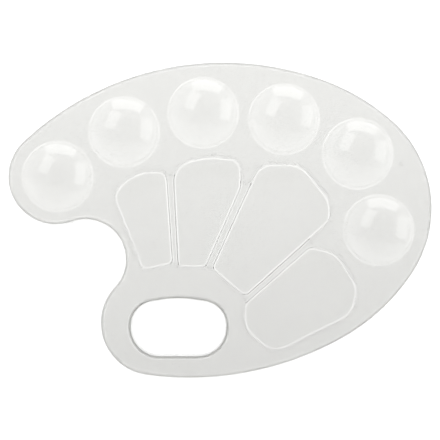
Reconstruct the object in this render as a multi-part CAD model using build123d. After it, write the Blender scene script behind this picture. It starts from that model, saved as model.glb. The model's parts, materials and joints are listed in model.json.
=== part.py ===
from build123d import *
import math
import os

# Clear plastic painter's palette for one hand: one injection moulding in the shape of a kidney, with
# six round wells along its back edge, four petal-shaped wells fanned around a thumb hole, and a rim
# and a thumb-hole collar that turn down to the table. Millimetres, +Z up, +X from the nose to the
# broad end. The origin is the middle of the outline's bounding box, on the plane that the rim rests on.

# Overall sizes
HEIGHT = 11.0                # table to deck
WALL = 1.5                   # deck, rim, collar and well walls
CEILING = HEIGHT - WALL      # underside of the deck
RIM_DRAFT = 5.0              # degrees that the rim and the collar lean off the vertical
RIM_ROUND = 2.0              # outside radius where the deck turns down

# Outline: four circles fixed by their centre and radius ...
NOSE = ((-90.5, 24.0), 27.0)             # round end, left of the thumb notch
BROAD_END = ((52.0, 6.5), 65.0)          # wide right-hand end
THUMB_LOBE = ((-37.0, -56.5), 29.5)      # lobe around the thumb hole
# ... and arcs that touch them: the long back and front edges, the two shoulders and the notch
BACK_RADIUS = 161.5
BACK_SHOULDER = (117.5, 48.5)            # radius, and the bearing where it runs into the broad end
FRONT_SHOULDER = (112.0, -33.5)
FRONT_RADIUS = 174.0
NOTCH_RADIUS = 21.5

# Round wells: spherical bowls
WELL_CENTRES = [(-89.5, 24.0), (-53.0, 48.5), (-9.5, 59.0), (35.0, 55.5), (75.5, 36.5), (87.0, -5.5)]
WELL_RADIUS = 19.0           # radius of the bowl where it meets the deck
WELL_DEPTH = 8.5
WELL_LIP = 2.5               # radius of the rounded lip

# Sphere of the round wells, and the height of its centre
BOWL_RADIUS = (WELL_RADIUS**2 + WELL_DEPTH**2) / (2 * WELL_DEPTH)
BOWL_CENTRE = HEIGHT - WELL_DEPTH + BOWL_RADIUS

# Petal wells: flat-floored pockets, each corner as ((x, y), corner radius) at deck level
PETALS = [
    [((-59.5, 14.0), 8), ((-48.5, 27.0), 22), ((-29.5, 27.0), 5), ((-26.0, -24.0), 3), ((-43.0, -28.0), 4.5)],
    [((-26.5, 30.0), 12), ((-8.0, 35.5), 40), ((11.5, 33.5), 7), ((11.5, 18.0), 8), ((-8.0, -26.0), 3),
     ((-23.5, -26.0), 3)],
    [((21.5, 31.0), 11), ((44.5, 31.0), 16), ((60.5, 10.8), 12), ((60.5, -0.5), 7), ((13.5, -42.5), 4),
     ((-5.0, -26.5), 3.5)],
    [((49.0, -14.5), 3.5), ((64.3, -18.0), 16), ((76.3, -37.5), 13), ((72.4, -52.2), 12),
     ((29.0, -74.0), 12), ((13.0, -60.0), 12), ((13.0, -46.0), 4)],
]
PETAL_DEPTH = 4.0
PETAL_DRAFT = 10.0           # degrees
PETAL_LIP = 0.5              # radius at the mouth
PETAL_TOE = 0.7              # radius around the floor

# Fan under the petal wells: one wall thick around them, solid between neighbours
FAN_CREASE = 1.5             # radius in the creases of its outline, between neighbouring wells
FAN_EDGE = 0.25              # radius where it meets the deck

# Thumb hole: corners at the table, where the collar is narrowest
THUMB_HOLE = [((-48.5, -47.0), 13), ((-23.0, -43.0), 60), ((2.5, -47.0), 13), ((2.5, -74.0), 15),
              ((-48.5, -74.0), 15)]

# Stub left by the moulding gate, under the deck near the broad end
GATE_AT = (99.5, 31.0)
GATE_RADIUS = 0.8
GATE_LENGTH = 0.6


def touching(circle_a, circle_b, radius, side, hollow=False):
    """Circle of the given radius that touches two others, from the inside or, if hollow, from outside."""
    (a, radius_a), (b, radius_b) = circle_a, circle_b
    a, b = Vector(*a), Vector(*b)
    reach_a = radius + radius_a if hollow else radius - radius_a
    reach_b = radius + radius_b if hollow else radius - radius_b
    gap = (b - a).length
    along = (reach_a**2 - reach_b**2 + gap**2) / (2 * gap)
    across = math.sqrt(reach_a**2 - along**2)
    u = (b - a).normalized()
    centre = a + u * along + Vector(-u.Y, u.X) * (side * across)
    return (centre.X, centre.Y), radius


def shoulder(circle, radius, bearing):
    """Larger circle that touches the given one from outside at a bearing in degrees."""
    (x, y), small = circle
    step = radius - small
    angle = math.radians(bearing)
    return (x - step * math.cos(angle), y - step * math.sin(angle)), radius


def meeting_point(arc_a, arc_b):
    """Point where two neighbouring arcs of the outline touch."""
    (a, radius_a), turn_a = arc_a
    (b, radius_b), turn_b = arc_b
    a, b = Vector(*a), Vector(*b)
    if turn_a != turn_b or radius_a > radius_b:
        return a + (b - a).normalized() * radius_a
    return b + (a - b).normalized() * radius_b


def tangent_loop(arcs):
    """Closed outline of arcs, each given as (circle, turn): turn -1 is clockwise, +1 anticlockwise."""
    edges = []
    for i, (circle, turn) in enumerate(arcs):
        (x, y), radius = circle
        start = meeting_point(arcs[i - 1], arcs[i]) - Vector(x, y)
        end = meeting_point(arcs[i], arcs[(i + 1) % len(arcs)]) - Vector(x, y)
        first = math.degrees(math.atan2(start.Y, start.X))
        last = math.degrees(math.atan2(end.Y, end.X))
        sweep = turn * ((turn * (last - first)) % 360)
        edges.append(CenterArc((x, y), radius, first, sweep))
    return make_face(edges)


def palette_outline():
    back_end = shoulder(BROAD_END, *BACK_SHOULDER)
    front_end = shoulder(BROAD_END, *FRONT_SHOULDER)
    back = touching(NOSE, back_end, BACK_RADIUS, side=-1)
    front = touching(front_end, THUMB_LOBE, FRONT_RADIUS, side=-1)
    notch = touching(THUMB_LOBE, NOSE, NOTCH_RADIUS, side=1, hollow=True)
    return tangent_loop([
        (NOSE, -1), (back, -1), (back_end, -1), (BROAD_END, -1),
        (front_end, -1), (front, -1), (THUMB_LOBE, -1), (notch, 1),
    ])


def rounded_polygon(corners):
    """Closed outline with its own radius at each corner."""
    points = [point for point, radius in corners]
    radii = [radius for point, radius in corners]
    return make_face(FilletPolyline(*points, radius=radii, close=True))


def top_edges(solid):
    return solid.edges().group_by(Axis.Z)[-1]


def matching(solid, wanted):
    """Edges of a solid that lie where the wanted edges lie."""
    centres = [edge.center() for edge in wanted]
    return [e for e in solid.edges() if any((e.center() - c).length < 0.01 for c in centres)]


def tray(inset, top, turn_radius):
    """Outline block with a leaning rim and the thumb hole through it, inset all round."""
    lean = inset / math.cos(math.radians(RIM_DRAFT))
    body = extrude(offset(palette_outline(), -lean), top, taper=RIM_DRAFT)
    hole = extrude(offset(rounded_polygon(THUMB_HOLE), lean), top, taper=-RIM_DRAFT)
    body -= hole
    return fillet(top_edges(body), turn_radius)


def well_bowls(sphere_radius):
    return [Pos(x, y, BOWL_CENTRE) * Sphere(sphere_radius) for x, y in WELL_CENTRES]


def bowl_rims(solid, level, sphere_radius):
    """Circles where the bowls' spheres cut the flat at a level."""
    ring = math.sqrt(sphere_radius**2 - (BOWL_CENTRE - level)**2)
    circles = solid.edges().filter_by(GeomType.CIRCLE)
    return [e for e in circles if abs(e.radius - ring) < 0.01 and abs(e.center().Z - level) < 0.01]


def petal_pockets():
    """Drafted pockets with a rounded toe, cut down from the deck."""
    pockets = []
    for corners in PETALS:
        mouth = Pos(0, 0, HEIGHT) * rounded_polygon(corners)
        pocket = extrude(mouth, PETAL_DEPTH, dir=(0, 0, -1), taper=PETAL_DRAFT)
        floor_edges = pocket.edges().group_by(Axis.Z)[0]
        pockets.append(fillet(floor_edges, PETAL_TOE))
    return pockets


def fan_block():
    """Drafted block that the four pockets hang in, from the ceiling down to a sharp foot."""
    draft = math.radians(PETAL_DRAFT)
    margin = WALL / math.cos(draft) - WALL * math.tan(draft)
    wide = Sketch() + [offset(rounded_polygon(corners), margin + FAN_CREASE) for corners in PETALS]
    outline = Pos(0, 0, CEILING) * offset(wide, -FAN_CREASE)
    return extrude(outline, PETAL_DEPTH, dir=(0, 0, -1), taper=PETAL_DRAFT)


def deck_and_wells():
    """The palette as seen from above, solid down to the table."""
    body = tray(0, HEIGHT, RIM_ROUND)
    for bowl in well_bowls(BOWL_RADIUS):
        body -= bowl
    body = fillet(bowl_rims(body, HEIGHT, BOWL_RADIUS), WELL_LIP)
    pockets = petal_pockets()
    for pocket in pockets:
        body -= pocket
    for pocket in pockets:
        body = fillet(matching(body, top_edges(pocket)), PETAL_LIP)
    return body


def hollow_underneath():
    """The space between the underside of the deck and the table."""
    space = tray(WALL, CEILING, RIM_ROUND - WALL)
    for bowl in well_bowls(BOWL_RADIUS + WALL):
        space -= bowl
    space = fillet(bowl_rims(space, CEILING, BOWL_RADIUS + WALL), WELL_LIP - WALL)
    fan = fan_block()
    space -= fan
    return fillet(matching(space, top_edges(fan)), FAN_EDGE)


def gate_stub():
    overlap = WALL / 2
    height = CEILING - GATE_LENGTH / 2 + overlap / 2
    return Pos(*GATE_AT, height) * Cylinder(GATE_RADIUS, GATE_LENGTH + overlap)


def build_palette():
    palette = deck_and_wells() - hollow_underneath() + gate_stub()
    middle = palette_outline().bounding_box().center()
    return Pos(-middle.X, -middle.Y, 0) * palette


os.makedirs("parts", exist_ok=True)
palette_moulding = build_palette()
palette_moulding.label = "palette_moulding"
export_step(palette_moulding, "parts/palette_moulding.step")
box = palette_moulding.bounding_box()
print("size", box.size, "volume", palette_moulding.volume, "solids", len(palette_moulding.solids()))
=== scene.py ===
import json
import math

import bpy
import numpy as np
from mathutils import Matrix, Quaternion, Vector
from mathutils.geometry import delaunay_2d_cdt


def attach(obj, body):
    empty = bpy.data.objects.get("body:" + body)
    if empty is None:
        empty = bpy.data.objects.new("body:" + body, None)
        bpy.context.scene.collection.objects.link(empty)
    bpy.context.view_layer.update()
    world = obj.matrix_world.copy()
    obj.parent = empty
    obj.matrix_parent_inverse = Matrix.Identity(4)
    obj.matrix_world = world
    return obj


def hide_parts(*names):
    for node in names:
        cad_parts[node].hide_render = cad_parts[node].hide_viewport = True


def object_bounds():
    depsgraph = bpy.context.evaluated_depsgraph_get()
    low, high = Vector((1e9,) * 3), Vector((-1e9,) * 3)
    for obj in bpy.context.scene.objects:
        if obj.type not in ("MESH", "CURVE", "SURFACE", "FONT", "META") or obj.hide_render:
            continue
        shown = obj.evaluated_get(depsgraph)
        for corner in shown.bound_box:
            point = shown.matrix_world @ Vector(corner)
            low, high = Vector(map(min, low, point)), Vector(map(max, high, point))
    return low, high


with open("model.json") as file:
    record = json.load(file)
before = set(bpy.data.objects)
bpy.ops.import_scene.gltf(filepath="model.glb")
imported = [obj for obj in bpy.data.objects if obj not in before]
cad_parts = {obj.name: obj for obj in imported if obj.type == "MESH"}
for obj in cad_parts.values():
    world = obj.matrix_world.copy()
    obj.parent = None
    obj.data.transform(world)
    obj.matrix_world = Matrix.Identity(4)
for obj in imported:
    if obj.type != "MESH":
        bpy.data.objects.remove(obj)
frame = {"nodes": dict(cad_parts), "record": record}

# A clear plastic mixing palette, seen from straight above on a white table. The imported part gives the
# outlines of every flat. Between them this script sweeps the moulding's rounded sections in fine rings,
# so that its reflections and refractions run smoothly. Metres, in the part's own frame.

cad_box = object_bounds()

# ---------------------------------------------------------------- sizes of the moulding's sections
WALL = 0.0015
DRAFT = math.radians(5)          # rim and thumb-hole collar
TURN = 0.0020                    # outside radius where the deck turns down
FOOT = 0.00005                   # radius of the two edges of the foot
WELL_RADIUS = 0.0190             # where a bowl's sphere would meet the deck
WELL_DEPTH = 0.0085
WELL_LIP = 0.0025
PETAL_DEPTH = 0.0040
PETAL_DRAFT = math.radians(10)
PETAL_LIP = 0.0005
PETAL_TOE = 0.0007
FAN_EDGE = 0.00025               # where the fan under the petal wells meets the deck
FAN_FOOT = 0.00005               # around the fan's foot
STUB_LENGTH = 0.0006             # what the moulding gate left under the deck
STUB_EDGE = 0.0002

SPACING = 0.0012                 # along a loop
TURN_STEP = math.radians(9)      # greatest turn between two points of a loop
ARC_STEP = math.radians(9)       # and of a section
BOWL_STEP = math.radians(2.6)
GRID = 0.0050                    # between the points inside a flat

HEIGHT = cad_box[1].z
CEILING = HEIGHT - WALL

# ---------------------------------------------------------------- camera
FRAME_WIDTH = 0.242              # what the picture's width takes in at deck height
CAMERA_HEIGHT = 2.6
SENSOR = 36.0


def add_camera():
    data = bpy.data.cameras.new("camera")
    data.sensor_width = SENSOR
    data.lens = SENSOR * (CAMERA_HEIGHT - HEIGHT) / FRAME_WIDTH
    camera = bpy.data.objects.new("camera", data)
    camera.location = (0, 0, CAMERA_HEIGHT)
    bpy.context.scene.collection.objects.link(camera)
    bpy.context.scene.camera = camera


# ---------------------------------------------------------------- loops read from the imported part
def level_loops(mesh, height):
    """Outlines of the mesh's flat faces at one height, each anticlockwise seen from above."""
    points, number = [], {}
    follows = {}
    for polygon in mesh.polygons:
        corners = [mesh.vertices[v].co for v in polygon.vertices]
        if any(abs(c.z - height) > 1e-6 for c in corners):
            continue
        ids = []
        for c in corners:
            key = (round(c.x * 1e6), round(c.y * 1e6))
            if key not in number:
                number[key] = len(points)
                points.append((c.x, c.y))
            ids.append(number[key])
        for a, b in zip(ids, ids[1:] + ids[:1]):
            follows[(a, b)] = True
    border = {a: b for a, b in follows if (b, a) not in follows}
    loops = []
    while border:
        start, at = next(iter(border.items()))
        loop = [start]
        del border[start]
        while at != start:
            loop.append(at)
            at = border.pop(at)
        loop = np.array([points[i] for i in loop])
        loops.append(loop if area(loop) > 0 else loop[::-1])
    return loops


def area(loop):
    x, y = loop.T
    return 0.5 * float(np.sum(x * np.roll(y, -1) - y * np.roll(x, -1)))


def inside(points, loop):
    """True for each point inside a closed loop."""
    x, y = np.asarray(points, float).reshape(-1, 2).T
    result = np.zeros(len(x), bool)
    for (x0, y0), (x1, y1) in zip(loop, np.roll(loop, -1, 0)):
        if y0 != y1:
            crosses = (y0 > y) != (y1 > y)
            result ^= crosses & (x < (x1 - x0) * (y - y0) / (y1 - y0) + x0)
    return result


def loop_around(loops, point):
    """Smallest loop that a point is inside."""
    return min((l for l in loops if inside([point[:2]], l)[0]), key=area)


def half_turn(angle):
    """The same angle, no more than half a turn either way."""
    return (angle + math.pi) % (2 * math.pi) - math.pi


def true_curve(corners):
    """Closer points on the arcs and straights that a smooth loop's corners lie on, and outward normals."""
    chord = np.roll(corners, -1, 0) - corners
    length = np.hypot(*chord.T)
    heading = np.arctan2(chord[:, 1], chord[:, 0])
    turn = half_turn(heading - np.roll(heading, 1))
    # start inside an arc, where two equal chords meet and the direction is known
    uneven = abs(turn - np.roll(turn, 1)) + abs(turn - np.roll(turn, -1))
    uneven += abs(length / np.roll(length, 1) - 1)
    first = int(np.argmin(uneven))
    corners, length, turn = (np.roll(a, -first, 0) for a in (corners, length, turn))
    heading = np.roll(heading, -first)[0] + np.concatenate([[0], np.cumsum(turn[1:])])
    # directions at the corners, carried forward from there and back again, then blended
    count = len(corners)
    ahead = np.empty(count + 1)
    ahead[0] = heading[0] - turn[0] / 2
    for i in range(count):
        ahead[i + 1] = 2 * heading[i] - ahead[i]
    back = np.empty(count + 1)
    back[count] = ahead[0] + 2 * math.pi
    for i in range(count, 0, -1):
        back[i - 1] = 2 * heading[i - 1] - back[i]
    share = np.linspace(0, 1, count + 1)
    tangent = ahead * (1 - share) + back * share
    points, normals = [], []
    for i in range(count):
        bend = tangent[i + 1] - tangent[i]
        steps = max(math.ceil(length[i] / SPACING), math.ceil(abs(bend) / TURN_STEP), 1)
        for k in range(steps):
            f = k / steps
            reach = f if abs(bend) < 1e-6 else math.sin(bend * f / 2) / math.sin(bend / 2)
            way = tangent[i] + bend * f / 2
            points.append(corners[i] + length[i] * reach * np.array([math.cos(way), math.sin(way)]))
            now = tangent[i] + bend * f
            normals.append((math.sin(now), -math.cos(now)))
    return np.array(points), np.array(normals)


# ---------------------------------------------------------------- sections: (outward, height, normal)
def arc(centre, radius, start, end, step=ARC_STEP):
    """Points of a section along an arc. The radius is negative where the surface is hollow."""
    count = max(2, math.ceil(abs(end - start) / step))
    section = []
    for angle in np.linspace(start, end, count + 1):
        n = (math.cos(angle), math.sin(angle))
        section.append((centre[0] + radius * n[0], centre[1] + radius * n[1], n))
    return section


def mirrored(section):
    return [(-d, z, (-n[0], n[1])) for d, z, n in section]


def rim_section():
    """From the deck over the turn, down the outside, round the foot and up inside to the ceiling."""
    up, down = math.pi / 2, -math.pi / 2
    centre = (0.0, HEIGHT - TURN)
    lean, cos = math.tan(DRAFT), math.cos(DRAFT)
    # outside face at the height of the foot's arcs
    wall = TURN / cos + (HEIGHT - TURN - FOOT) * lean
    outer_foot = (wall - FOOT / cos, FOOT)
    inner_foot = (wall - (WALL - FOOT) / cos, FOOT)
    section = arc(centre, TURN, up, DRAFT)
    section += arc(outer_foot, FOOT, DRAFT, down, 2 * ARC_STEP)
    section += arc(inner_foot, FOOT, down, DRAFT - math.pi, 2 * ARC_STEP)
    section += arc(centre, -(TURN - WALL), DRAFT - math.pi, down, 2 * ARC_STEP)
    return section


def bowl_sphere():
    radius = (WELL_RADIUS**2 + WELL_DEPTH**2) / (2 * WELL_DEPTH)
    return radius, HEIGHT - WELL_DEPTH + radius


def bowl_section(ring, under):
    """Over the lip and down to the middle of a round well, or along the same path under the deck."""
    radius, centre_height = bowl_sphere()
    lip_centre = (0.0, HEIGHT - WELL_LIP)
    meet = math.atan2(centre_height - lip_centre[1], -ring)
    lip, bowl, side = WELL_LIP, radius, 0.0
    if under:
        lip, bowl, side = WALL - WELL_LIP, radius + WALL, -math.pi
    section = arc(lip_centre, lip, math.pi / 2 + side, meet + side)
    section += arc((-ring, centre_height), -bowl if not under else bowl, meet + side, math.pi / 2 + side,
                   BOWL_STEP)[1:]
    return section


def step_section(top, depth, upper, lower, draft, start=0.0, under=False):
    """From a flat round an edge, down a drafted wall and round its foot; or the wall's hidden side."""
    sign, turn = (-1, -math.pi) if under else (1, 0.0)
    level, wall = math.pi / 2 + turn, math.pi - draft + turn
    drop = depth - (upper + lower) * (1 - math.sin(draft))
    inward = (upper + lower) * math.cos(draft) + drop * math.tan(draft)
    section = arc((start, top - upper), sign * upper, level, wall)
    section += arc((start - inward, top - depth + lower), -sign * lower, wall, level)
    return section


def petal_section():
    return step_section(HEIGHT, PETAL_DEPTH, PETAL_LIP, PETAL_TOE, PETAL_DRAFT)


def fan_section():
    """The underside of the petal wells, one wall away from their mouths, walls and toes."""
    return step_section(CEILING, PETAL_DEPTH, FAN_EDGE, FAN_FOOT, PETAL_DRAFT, under=True)


def stub_section():
    return step_section(CEILING, STUB_LENGTH, STUB_EDGE, STUB_EDGE, 0.0, start=STUB_EDGE, under=True)


# ---------------------------------------------------------------- the skin
class Skin:
    """Points, their normals and the faces between them. Points that coincide are one point."""

    def __init__(self):
        self.points, self.normals, self.faces, self.number = [], [], [], {}
        # how far each point of a marked section is, seen from above, from the flat where it begins; it
        # places painted shade and highlights
        self.marks = {"skirt": {}, "collar": {}, "wall": {}}

    def point(self, position, normal):
        key = tuple(round(x * 1e7) for x in position)
        if key not in self.number:
            self.number[key] = len(self.points)
            self.points.append(position)
            self.normals.append(normal)
        return self.number[key]

    def face(self, corners):
        corners = [c for i, c in enumerate(corners) if c != corners[i - 1]]
        if len(corners) < 3:
            return
        a, b, c = (Vector(self.points[i]) for i in corners[:3])
        if (b - a).cross(c - a).dot(Vector(self.normals[corners[0]])) < 0:
            corners.reverse()
        self.faces.append(corners)

    def sweep(self, curve, section, mark=None):
        """A section carried round a curve. Returns its first and its last ring, as flat loops.

        The points between those two can be marked, for the painted shade and highlights in the plastic's
        tint.
        """
        points, normals = curve
        rings = []
        for out, height, (across, rise) in section:
            ring = points + normals * out
            turned = [(nx * across, ny * across, rise) for nx, ny in normals]
            rings.append([self.point((x, y, height), n) for (x, y), n in zip(ring, turned)])
            if mark and 1 < len(rings) < len(section):
                self.marks[mark].update(dict.fromkeys(rings[-1], abs(out)))
        for upper, lower in zip(rings, rings[1:]):
            for i in range(len(points)):
                self.face([upper[i - 1], upper[i], lower[i], lower[i - 1]])
        return points + normals * section[0][0], points + normals * section[-1][0]

    def flat(self, height, outer, holes, facing):
        """Level face between loops, on a loose grid of points."""
        loops = [outer] + holes
        edges, corners = [], []
        for loop in loops:
            first = len(corners)
            corners += [tuple(p) for p in loop]
            edges += [(first + i, first + (i + 1) % len(loop)) for i in range(len(loop))]
        low, high = outer.min(0), outer.max(0)
        rows = np.arange(low[1], high[1], GRID * math.sqrt(3) / 2)
        columns = np.arange(low[0], high[0], GRID)
        grid = [(x + GRID / 2 * (i % 2), y) for i, y in enumerate(rows) for x in columns]
        border = np.array(corners)
        clear = [p for p in grid if np.min(np.sum((border - p) ** 2, 1)) > (0.5 * GRID) ** 2]
        wanted = inside(clear, outer)
        for hole in holes:
            wanted &= ~inside(clear, hole)
        corners += [p for p, w in zip(clear, wanted) if w]
        spots, _, triangles, *_ = delaunay_2d_cdt([Vector(p) for p in corners], edges, [], 0, 1e-9)
        middles = np.array([sum((spots[i] for i in t), Vector((0, 0))) / 3 for t in triangles])
        keep = inside(middles, outer)
        for hole in holes:
            keep &= ~inside(middles, hole)
        normal = (0.0, 0.0, facing)
        for triangle, wanted_here in zip(triangles, keep):
            if wanted_here:
                self.face([self.point((*spots[i], height), normal) for i in triangle])

    def make(self, name):
        mesh = bpy.data.meshes.new(name)
        mesh.from_pydata(self.points, [], self.faces)
        mesh.polygons.foreach_set("use_smooth", [True] * len(mesh.polygons))
        mesh.normals_split_custom_set_from_vertices(self.normals)
        for mark, values in self.marks.items():
            attribute = mesh.attributes.new(mark, "FLOAT", "POINT")
            attribute.data.foreach_set("value", [values.get(i, 0.0) for i in range(len(self.points))])
        made = bpy.data.objects.new(name, mesh)
        bpy.context.scene.collection.objects.link(made)
        return made


def middle(box):
    low, high = box
    return (low[0] + high[0]) / 2, (low[1] + high[1]) / 2


def build_palette(node, record):
    deck = level_loops(node.data, HEIGHT)
    ceiling = level_loops(node.data, CEILING)
    openings = {o["name"]: middle(o["box_m"]) for o in record["physics"]["openings"]}
    thumb = next(m["pos_m"] for m in record["mounts"] if m["name"] == "thumb_hole")
    wells = [at for name, at in openings.items() if name.startswith("round_well")]
    petals = [at for name, at in openings.items() if name.startswith("petal_well") and name.endswith("_a")]
    skin = Skin()

    outline = true_curve(max(deck, key=area))
    deck_outer, ceiling_outer = skin.sweep(outline, rim_section(), "skirt")
    hole = true_curve(loop_around(deck, thumb))
    deck_hole, ceiling_hole = skin.sweep(hole, mirrored(rim_section()), "collar")
    deck_holes, ceiling_holes = [deck_hole], [ceiling_hole]

    for centre in wells:
        lip = true_curve(loop_around(deck, centre))
        ring = float(np.mean(np.hypot(*(lip[0] - np.mean(lip[0], 0)).T)))
        deck_holes.append(skin.sweep(lip, bowl_section(ring, under=False))[0])
        ceiling_holes.append(skin.sweep(lip, bowl_section(ring, under=True))[0])

    for centre in petals:
        mouth, floor = skin.sweep(true_curve(loop_around(deck, centre)), petal_section(), "wall")
        deck_holes.append(mouth)
        skin.flat(HEIGHT - PETAL_DEPTH, floor, [], 1)

    fan = true_curve(loop_around(ceiling, petals[0]))
    fan_top, fan_foot = skin.sweep(fan, fan_section(), "wall")
    ceiling_holes.append(fan_top)
    skin.flat(CEILING - PETAL_DEPTH, fan_foot, [], -1)

    stub = true_curve(min(ceiling, key=area))
    stub_top, stub_foot = skin.sweep(stub, stub_section())
    ceiling_holes.append(stub_top)
    skin.flat(CEILING - STUB_LENGTH, stub_foot, [], -1)

    skin.flat(HEIGHT, deck_outer, deck_holes, 1)
    skin.flat(CEILING, ceiling_outer, ceiling_holes, -1)
    return skin.make("clear_palette")


# ---------------------------------------------------------------- shader nodes
class Shader:
    """Adds nodes to a tree, with each input given as a value or as another node's output."""

    def __init__(self, tree):
        self.tree = tree

    def add(self, kind, **settings):
        node = self.tree.nodes.new(kind)
        for name, value in settings.items():
            setattr(node, name, value)
        return node

    def put(self, socket, value):
        if isinstance(value, bpy.types.NodeSocket):
            self.tree.links.new(value, socket)
        else:
            socket.default_value = value

    def math(self, operation, *values):
        node = self.add("ShaderNodeMath", operation=operation)
        for socket, value in zip(node.inputs, values):
            self.put(socket, value)
        return node.outputs[0]

    def step(self, value, low, high):
        """0 below one value and 1 above the other, or the reverse if they fall."""
        node = self.add("ShaderNodeMapRange", interpolation_type="SMOOTHSTEP")
        self.put(node.inputs["Value"], value)
        self.put(node.inputs["From Min"], min(low, high))
        self.put(node.inputs["From Max"], max(low, high))
        self.put(node.inputs["To Min"], float(low > high))
        self.put(node.inputs["To Max"], float(low < high))
        return node.outputs["Result"]

    def blend(self, factor, first, second, blend_type="MIX"):
        """Two colours blended: the first at a factor of 0."""
        node = self.add("ShaderNodeMix", data_type="RGBA", blend_type=blend_type)
        self.put(node.inputs["Factor"], factor)
        self.put(node.inputs["A"], first)
        self.put(node.inputs["B"], second)
        return node.outputs["Result"]

    def mark(self, name):
        """How far a point of the skin is from the flat where its marked section begins; 0 elsewhere."""
        return self.add("ShaderNodeAttribute", attribute_name=name).outputs["Fac"]

    def upward(self, vector):
        node = self.add("ShaderNodeSeparateXYZ")
        self.put(node.inputs[0], vector)
        return node.outputs["Z"]

    def noise(self, place, scale, detail):
        node = self.add("ShaderNodeTexNoise")
        self.put(node.inputs["Vector"], place)
        self.put(node.inputs["Scale"], scale)
        self.put(node.inputs["Detail"], detail)
        return node.outputs[0]

    def stretched(self, place, bearing, stretch):
        """Coordinates drawn out along a bearing, for marks much longer than they are wide."""
        node = self.add("ShaderNodeMapping", vector_type="TEXTURE")
        self.put(node.inputs["Vector"], place)
        self.put(node.inputs["Rotation"], (0, 0, math.radians(bearing)))
        self.put(node.inputs["Scale"], (stretch, 1, 1))
        return node.outputs[0]


# ---------------------------------------------------------------- plastic
IOR = 1.59
FLAT_TINT = (0.62, 0.62, 0.61, 1)        # deck, floors of the petal wells
LIP_PAINTED_HIGHLIGHT = (0.76, 0.76, 0.75, 1)         # painted highlight: rounded lips and steep faces made paler, in place of their glints and refraction
PALE_PAINTED_HIGHLIGHT = (0.89, 0.89, 0.88, 1)        # painted highlight: petal wells' walls, and a pale line just inside rim and collar
SKIRT_PAINTED_SHADE = (0.46, 0.46, 0.45, 1)       # painted shade: the rim darker, in place of what refraction shows through it
COLLAR_PAINTED_SHADE = (0.36, 0.36, 0.35, 1)      # painted shade: the thumb-hole collar darkest, in place of its dark refracted rings
SHADOW_TINT = (0.93, 0.93, 0.92, 1)      # what each surface passes of the light that falls on the table
STEEP = (0.80, 0.30)                     # upward part of the normal, from gently sloping to steep: where the painted highlight of steep faces comes in
LIP_DROP = 0.00035                       # how far down from the deck a lip gets the painted highlight
LIP_START = (0.000005, 0.00004)          # and the drop over which that begins
WALL_START = (0.0, 0.00005)              # inwards from a petal well's mouth, or from the edge of the fan, where the walls' painted highlight begins
LINE_START = (0.00005, 0.0002)           # outwards from the edge of the deck, as SKIRT_START: the painted highlight line inside rim and collar
# outwards from the edge of the deck, where the painted shade of rim and collar begins
SKIRT_START = (0.0009, 0.0013)

FLOW_BEARING = 20                        # moulding flow marks, in degrees from +X
FLOW_STRETCH = 3
FLOW_SCALE = 30
FLOW_HEIGHT = 0.00006
HAZE_SCALE = 140
HAZE_TINT = (0.5, 0.5, 0.5, 1)
HAZE_SHARE = 0.03
HAZE_ROUGHNESS = 0.03
SCRATCHES = ((28, 900), (-41, 700), (77, 800))       # bearing and scale of each set
SCRATCH_STRETCH = 45
SCRATCH_BAND = (0.70, 0.76)              # noise values at which a scratch begins and is full
SCRATCH_ROUGHNESS = 0.12
SMOOTH_ROUGHNESS = 0.02


def plastic_tint_with_painted_light(shader, place, haze):
    """Tint by place, with painted light: paler painted highlights on lips, steep faces, petal wells' walls
    and a line inside rim and collar; painted shade on rim and collar; all slightly clouded by the haze.
    """
    slope = shader.math("ABSOLUTE", shader.upward(shader.add("ShaderNodeNewGeometry").outputs["Normal"]))
    level = shader.upward(place)
    # the lip mask puts a painted highlight along the start of every lip
    below = [HEIGHT - drop for drop in LIP_START]
    lip = shader.math("MULTIPLY", shader.step(level, HEIGHT - LIP_DROP, HEIGHT - LIP_DROP / 2),
                      shader.step(level, *below))
    skirt, collar, wall = (shader.mark(name) for name in ("skirt", "collar", "wall"))
    either = shader.math("MAXIMUM", skirt, collar)
    # painted highlight: lips and steep faces paler than the flats
    tint = shader.blend(shader.math("MAXIMUM", shader.step(slope, *STEEP), lip), FLAT_TINT, LIP_PAINTED_HIGHLIGHT)
    # painted highlight: a pale line just inside rim and collar
    tint = shader.blend(shader.step(either, *LINE_START), tint, PALE_PAINTED_HIGHLIGHT)
    # painted shade over rim and collar
    tint = shader.blend(shader.step(either, *SKIRT_START), tint, SKIRT_PAINTED_SHADE)
    # painted shade, deeper still, over the thumb-hole collar
    tint = shader.blend(shader.step(collar, *SKIRT_START), tint, COLLAR_PAINTED_SHADE)
    # painted highlight on the walls of the petal wells and of the fan
    tint = shader.blend(shader.step(wall, *WALL_START), tint, PALE_PAINTED_HIGHLIGHT)
    return shader.blend(shader.math("MULTIPLY", haze, HAZE_SHARE), tint, HAZE_TINT, "MULTIPLY")


def plastic_roughness(shader, place, haze):
    """Polished, but for the haze and three sets of fine scratches."""
    scratched = 0.0
    for bearing, scale in SCRATCHES:
        grain = shader.noise(shader.stretched(place, bearing, SCRATCH_STRETCH), scale, detail=1)
        scratched = shader.math("MAXIMUM", scratched, shader.step(grain, *SCRATCH_BAND))
    hazed = shader.math("MULTIPLY_ADD", haze, HAZE_ROUGHNESS, SMOOTH_ROUGHNESS)
    return shader.math("MULTIPLY_ADD", scratched, SCRATCH_ROUGHNESS, hazed)


def plastic_ripple(shader, place):
    bump = shader.add("ShaderNodeBump")
    shader.put(bump.inputs["Strength"], 1.0)
    shader.put(bump.inputs["Distance"], FLOW_HEIGHT)
    flow = shader.noise(shader.stretched(place, FLOW_BEARING, FLOW_STRETCH), FLOW_SCALE, detail=2)
    shader.put(bump.inputs["Height"], flow)
    return bump.outputs[0]


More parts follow.
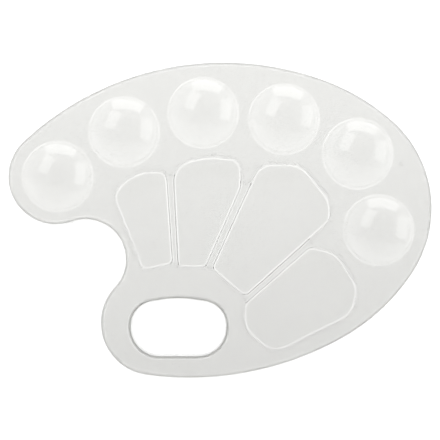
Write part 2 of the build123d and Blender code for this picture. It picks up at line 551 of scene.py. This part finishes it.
def clear_plastic():
    """Clear polystyrene. To the light that falls on the table it is only a faint tint."""
    material = bpy.data.materials.new("clear_plastic")
    material.use_nodes = True
    material.node_tree.nodes.clear()
    shader = Shader(material.node_tree)
    place = shader.add("ShaderNodeTexCoord").outputs["Object"]
    haze = shader.noise(place, HAZE_SCALE, detail=5)
    plastic = shader.add("ShaderNodeBsdfPrincipled")
    # the base colour carries painted highlights and painted shade
    shader.put(plastic.inputs["Base Color"], plastic_tint_with_painted_light(shader, place, haze))
    shader.put(plastic.inputs["IOR"], IOR)
    shader.put(plastic.inputs["Roughness"], plastic_roughness(shader, place, haze))
    shader.put(plastic.inputs["Transmission Weight"], 1.0)
    shader.put(plastic.inputs["Normal"], plastic_ripple(shader, place))
    lit_through = shader.add("ShaderNodeBsdfTransparent")
    shader.put(lit_through.inputs["Color"], SHADOW_TINT)
    mix = shader.add("ShaderNodeMixShader")
    output = shader.add("ShaderNodeOutputMaterial")
    shader.put(mix.inputs[0], shader.add("ShaderNodeLightPath").outputs["Is Shadow Ray"])
    shader.put(mix.inputs[1], plastic.outputs[0])
    shader.put(mix.inputs[2], lit_through.outputs[0])
    shader.put(output.inputs["Surface"], mix.outputs[0])
    return material


# ---------------------------------------------------------------- studio
TABLE_SIDE = 4.0                 # from the middle to an edge
TABLE_GAP = 0.0001               # under the foot of the rim
TABLE_TINT = (0.95, 0.95, 0.95, 1)
BOUNCES = 32                     # of light, so that it gets through every fold of the plastic


def direction(tilt, bearing):
    """Unit vector from a tilt off the vertical and a bearing from +X, in degrees."""
    t, b = math.radians(tilt), math.radians(bearing)
    return Vector((math.sin(t) * math.cos(b), math.sin(t) * math.sin(b), math.cos(t)))


class Tent(Shader):
    """White tent around the table: its radiance by direction, summed from soft-edged patches."""

    def __init__(self, tree):
        super().__init__(tree)
        self.way = self.add("ShaderNodeTexCoord").outputs["Generated"]
        self.total = None

    def along(self, axis):
        node = self.add("ShaderNodeVectorMath", operation="DOT_PRODUCT")
        self.put(node.inputs[0], self.way)
        self.put(node.inputs[1], tuple(axis))
        return node.outputs["Value"]

    def light(self, radiance, *masks):
        lit = radiance
        for mask in masks:
            lit = self.math("MULTIPLY", lit, mask)
        self.total = lit if self.total is None else self.math("ADD", self.total, lit)

    def walls(self, zenith, horizon):
        rise = self.math("SUBTRACT", 1.0, self.math("MAXIMUM", self.along((0, 0, 1)), 0.0))
        self.light(1.0, self.math("MULTIPLY_ADD", rise, horizon - zenith, zenith))

    def panel(self, tilt, bearing, width, height, radiance, roll=0.0, blur=0.05):
        """Rectangle facing the palette. Its width and height are for a distance of 1."""
        facing = direction(tilt, bearing)
        turned = facing.to_track_quat("Z", "Y") @ Quaternion((0, 0, 1), math.radians(roll))
        depth = self.along(facing)
        masks = [self.step(depth, 0.0, 0.01)]
        for axis, size in ((Vector((1, 0, 0)), width), (Vector((0, 1, 0)), height)):
            offset = self.math("ABSOLUTE", self.math("DIVIDE", self.along(turned @ axis), depth))
            masks.append(self.step(offset, size / 2 + blur / 2, size / 2 - blur / 2))
        self.light(radiance, *masks)

    def region(self, facings, radiance, blur=0.05):
        """The directions in front of every one of some planes through the palette."""
        self.light(radiance, *[self.step(self.along(direction(*f)), -blur / 2, blur / 2) for f in facings])


def add_tent():
    """Dim overhead and bright low down. The panels are mirrored as bright patches in the round wells."""
    world = bpy.data.worlds.new("studio")
    world.use_nodes = True
    tent = Tent(world.node_tree)
    tent.walls(zenith=0.15, horizon=1.0)
    # low in front: the crescent at the back of each well
    tent.panel(75, -98, width=1.16, height=0.61, radiance=1.2)
    # right of the front, and left: the two upright patches
    tent.panel(41.7, -48.1, width=0.79, height=0.477, radiance=1.0, roll=24.9)
    tent.panel(60, -172.7, width=0.853, height=0.537, radiance=0.95, roll=-16.6)
    # on the horizon at the left: the thin arc at the right of each well
    tent.panel(88, 180, width=1.0, height=0.12, radiance=0.9)
    # the back: the pale zone at the front of each well
    tent.region([(117.3, 89.1), (115.8, 69.4)], radiance=0.32)
    background = world.node_tree.nodes["Background"]
    background.inputs["Color"].default_value = (1, 1, 1, 1)
    tent.put(background.inputs["Strength"], tent.total)
    bpy.context.scene.world = world


def add_key(tilt, bearing, distance, width, height, radiance):
    """Soft strip above and behind the palette, which isn't mirrored in the plastic."""
    data = bpy.data.lights.new("key", "AREA")
    data.shape = "RECTANGLE"
    data.size, data.size_y = width, height
    data.energy = radiance * math.pi * width * height
    key = bpy.data.objects.new("key", data)
    way = direction(tilt, bearing)
    key.location = way * distance
    key.rotation_mode = "QUATERNION"
    key.rotation_quaternion = way.to_track_quat("Z", "Y")
    key.visible_camera = False
    key.visible_glossy = False
    key.visible_transmission = False
    bpy.context.scene.collection.objects.link(key)


def add_table():
    mesh = bpy.data.meshes.new("table_top")
    level = cad_box[0].z - TABLE_GAP
    corners = [(x * TABLE_SIDE, y * TABLE_SIDE, level) for x, y in ((-1, -1), (1, -1), (1, 1), (-1, 1))]
    mesh.from_pydata(corners, [], [(0, 1, 2, 3)])
    table = bpy.data.objects.new("table_top", mesh)
    bpy.context.scene.collection.objects.link(table)
    material = bpy.data.materials.new("white_table")
    material.use_nodes = True
    paint = material.node_tree.nodes["Principled BSDF"]
    paint.inputs["Base Color"].default_value = TABLE_TINT
    paint.inputs["Roughness"].default_value = 1.0
    paint.inputs["Specular IOR Level"].default_value = 0.0
    mesh.materials.append(material)


scene = bpy.context.scene
scene.view_settings.view_transform = "Standard"
# its albedo and normal passes would make the denoiser speckle the clear rim
scene.cycles.denoising_input_passes = "RGB"
scene.cycles.caustics_reflective = False
scene.cycles.caustics_refractive = False
scene.cycles.transmission_bounces = BOUNCES
scene.cycles.max_bounces = BOUNCES
scene.cycles.transparent_max_bounces = BOUNCES

add_camera()
add_table()
add_tent()
add_key(tilt=28, bearing=90, distance=0.38, width=1.2, height=0.3, radiance=2.9)

palette = build_palette(frame["nodes"]["palette_moulding"], frame["record"])
palette.data.materials.append(clear_plastic())
palette.visible_diffuse = False
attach(palette, "root")
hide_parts("palette_moulding")
